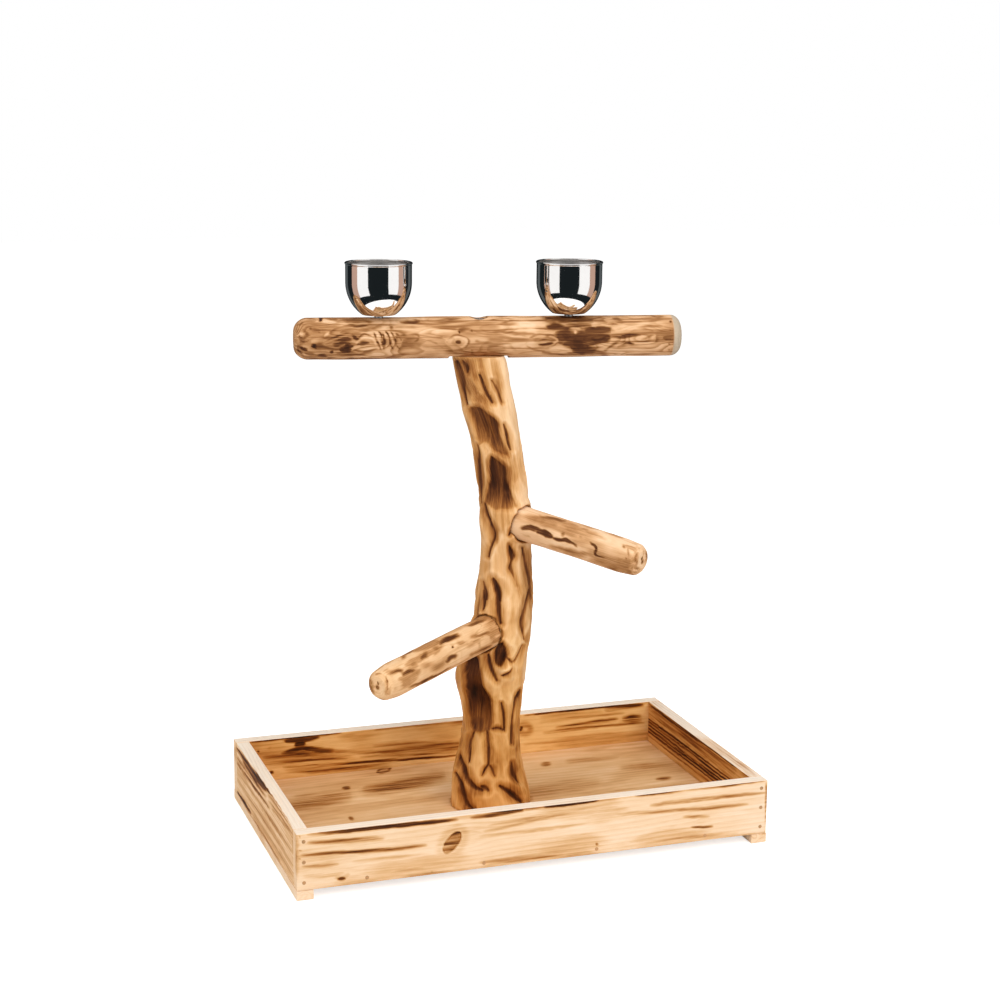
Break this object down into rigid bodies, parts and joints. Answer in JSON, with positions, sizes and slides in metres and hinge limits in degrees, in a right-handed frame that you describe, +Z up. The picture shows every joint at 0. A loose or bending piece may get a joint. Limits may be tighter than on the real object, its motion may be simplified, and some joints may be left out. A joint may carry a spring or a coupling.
{
  "type": "tabletop bird perch stand",
  "caption": "Tabletop perch stand for a pet bird: a shallow wooden tray on runners, a crooked trunk with side branches, and a round top perch that carries steel cups.",
  "frame": {"origin": "on the table, under the middle of the tray", "axes": "+X right along the tray's front board, +Y to the back, +Z up"},
  "size_m": [0.48, 0.282, 0.5716],
  "materials": {
    "tray_wood": "sawn softwood, torched along its edges and knots, matt",
    "floor_wood": "planed softwood with light soot marks, matt",
    "runner_wood": "sawn softwood, matt",
    "trunk_wood": "peeled natural trunk, scorched in its hollows, satin",
    "perch_wood": "round hardwood, scorched in swirls, satin",
    "branch_wood": "round hardwood, lightly scorched, satin",
    "nail_steel": "plain steel nails",
    "bolt_steel": "zinc-plated fixings",
    "cup_steel": "polished stainless sheet, near mirror",
    "soft_washer": "black rubber, matt"
  },
  "bodies": {
    "stand": {"tray_front_board": "tray_wood", "tray_back_board": "tray_wood", "tray_left_board": "tray_wood", "tray_right_board": "tray_wood", "tray_floor": "floor_wood", "runner_left": "runner_wood", "runner_right": "runner_wood", "corner_nails": "nail_steel", "floor_nails": "nail_steel", "runner_nails": "nail_steel", "trunk": "trunk_wood", "trunk_bolt": "bolt_steel", "trunk_washer": "bolt_steel", "trunk_screws": "bolt_steel", "branch_left_screw": "bolt_steel", "branch_right_screw": "bolt_steel", "perch_bolt": "bolt_steel", "perch_washer": "bolt_steel"},
    "perch": {"top_perch": "perch_wood", "cup_left_spacer": "bolt_steel", "cup_right_spacer": "bolt_steel", "cup_left_washer": "soft_washer", "cup_right_washer": "soft_washer", "cup_left_screw": "bolt_steel", "cup_right_screw": "bolt_steel"},
    "left_cup": {"cup_left": "cup_steel"},
    "right_cup": {"cup_right": "cup_steel"},
    "left_branch": {"branch_left": "branch_wood"},
    "right_branch": {"branch_right": "branch_wood"}
  },
  "joints": [
    {"name": "perch_swivel", "type": "hinge", "parent": "stand", "child": "perch", "pos_m": [-0.0205, 0, 0.4983], "axis": [0, 0, 1], "continuous": true},
    {"name": "left_cup_turn", "type": "hinge", "parent": "perch", "child": "left_cup", "pos_m": [-0.11603, 0.01684, 0.5211], "axis": [0, 0, 1], "continuous": true},
    {"name": "right_cup_turn", "type": "hinge", "parent": "perch", "child": "right_cup", "pos_m": [0.06715, -0.01545, 0.5211], "axis": [0, 0, 1], "continuous": true},
    {"name": "left_branch_turn", "type": "hinge", "parent": "stand", "child": "left_branch", "pos_m": [0.00719, 0, 0.207], "axis": [-0.816, -0.5714, -0.0872], "range_deg": [0, 180]},
    {"name": "right_branch_turn", "type": "hinge", "parent": "stand", "child": "right_branch", "pos_m": [0.00888, 0, 0.317], "axis": [0.5826, -0.8019, -0.1323], "range_deg": [0, 180]}
  ]
}
